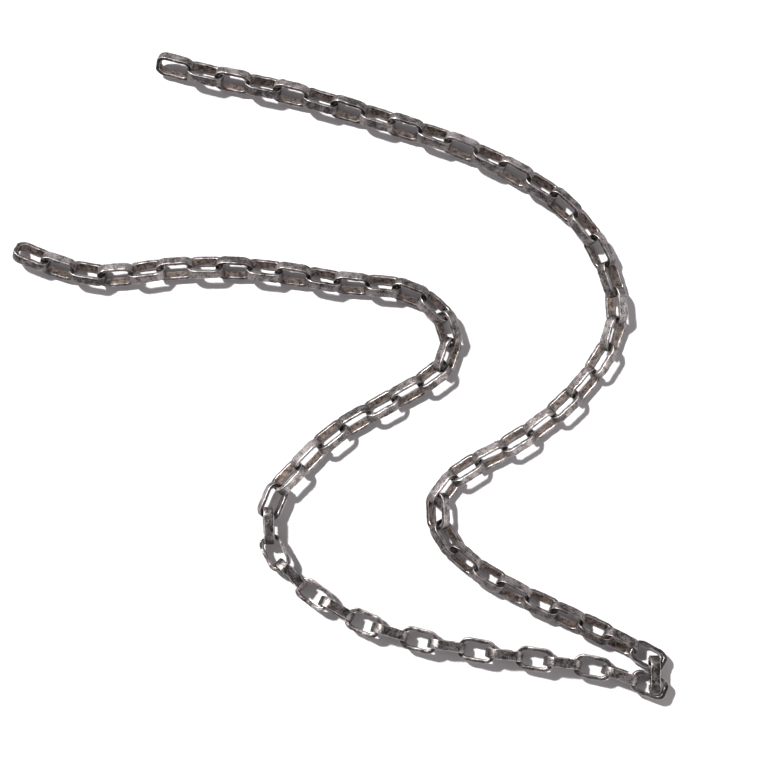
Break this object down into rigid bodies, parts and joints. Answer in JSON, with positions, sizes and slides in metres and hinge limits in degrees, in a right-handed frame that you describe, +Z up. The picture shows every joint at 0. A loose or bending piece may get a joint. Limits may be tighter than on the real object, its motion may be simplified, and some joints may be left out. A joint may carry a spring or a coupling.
{
  "type": "length of iron chain",
  "caption": "Light iron chain of flat-strip links with cut corners, laid on the floor in one long open fold.",
  "frame": {"origin": "on the floor, under the middle of the laid chain's box", "axes": "+Z up from the floor, +X to the right of the picture and +Y up the picture, as seen from above"},
  "size_m": [0.231, 0.2278, 0.0095],
  "materials": {
    "worn_iron": "dark worn iron, satin, with bright rubbed edges"
  },
  "bodies": {
    "root": {"link_pair_01": "worn_iron", "link_pair_02": "worn_iron", "link_pair_03": "worn_iron", "link_pair_04": "worn_iron", "link_pair_05": "worn_iron", "link_pair_06": "worn_iron", "link_pair_07": "worn_iron", "link_pair_08": "worn_iron", "link_pair_09": "worn_iron", "link_pair_10": "worn_iron", "link_pair_11": "worn_iron", "link_pair_12": "worn_iron", "link_pair_13": "worn_iron", "link_pair_14": "worn_iron", "link_pair_15": "worn_iron", "link_pair_16": "worn_iron", "link_pair_17": "worn_iron", "link_pair_18": "worn_iron", "link_pair_19": "worn_iron", "link_pair_20": "worn_iron", "link_pair_21": "worn_iron", "link_pair_22": "worn_iron", "link_pair_23": "worn_iron", "link_pair_24": "worn_iron", "link_pair_25": "worn_iron", "link_pair_26": "worn_iron", "link_pair_27": "worn_iron", "link_pair_28": "worn_iron", "link_pair_29": "worn_iron", "link_pair_30": "worn_iron", "link_pair_31": "worn_iron", "link_pair_32": "worn_iron", "link_pair_33": "worn_iron", "link_pair_34": "worn_iron", "link_pair_35": "worn_iron", "link_pair_36": "worn_iron", "link_pair_37": "worn_iron", "link_pair_38": "worn_iron", "link_pair_39": "worn_iron", "fold_link": "worn_iron", "end_link": "worn_iron"}
  },
  "joints": []
}
